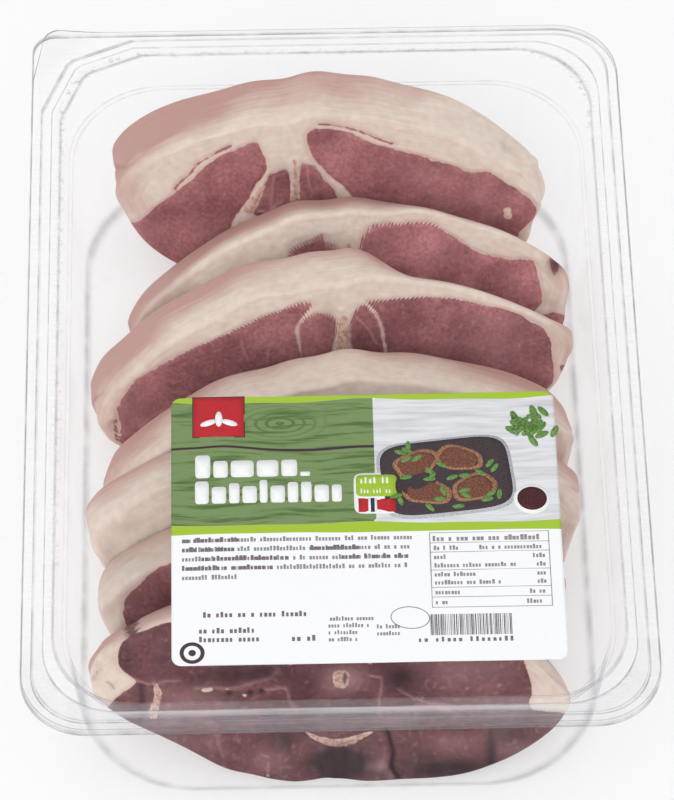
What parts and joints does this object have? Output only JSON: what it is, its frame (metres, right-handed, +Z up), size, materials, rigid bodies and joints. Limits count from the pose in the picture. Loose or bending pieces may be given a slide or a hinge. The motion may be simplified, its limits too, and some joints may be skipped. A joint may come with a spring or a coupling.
{
  "type": "meat tray pack",
  "caption": "Clear sealed tray with a lid film and a printed label, packed with double loin chops laid like shingles, fat side up.",
  "frame": {"origin": "middle of the pack's footprint, on the surface that it stands on", "axes": "+X across the pack to the right, +Y along it to the back, away from the label, +Z up"},
  "size_m": [0.19, 0.265, 0.0652],
  "materials": {
    "tray_sheet": "clear thermoformed sheet, glossy",
    "lid_film": "clear sealed film, glossy, slightly slack",
    "label_print": "smooth printed label, satin",
    "raw_lamb": "moist raw lamb with cream fat"
  },
  "bodies": {
    "root": {"tray": "tray_sheet", "lid_film": "lid_film", "label": "label_print", "chop_1": "raw_lamb", "chop_2": "raw_lamb", "chop_3": "raw_lamb", "chop_4": "raw_lamb", "chop_5": "raw_lamb", "chop_6": "raw_lamb", "chop_7": "raw_lamb"}
  },
  "joints": []
}
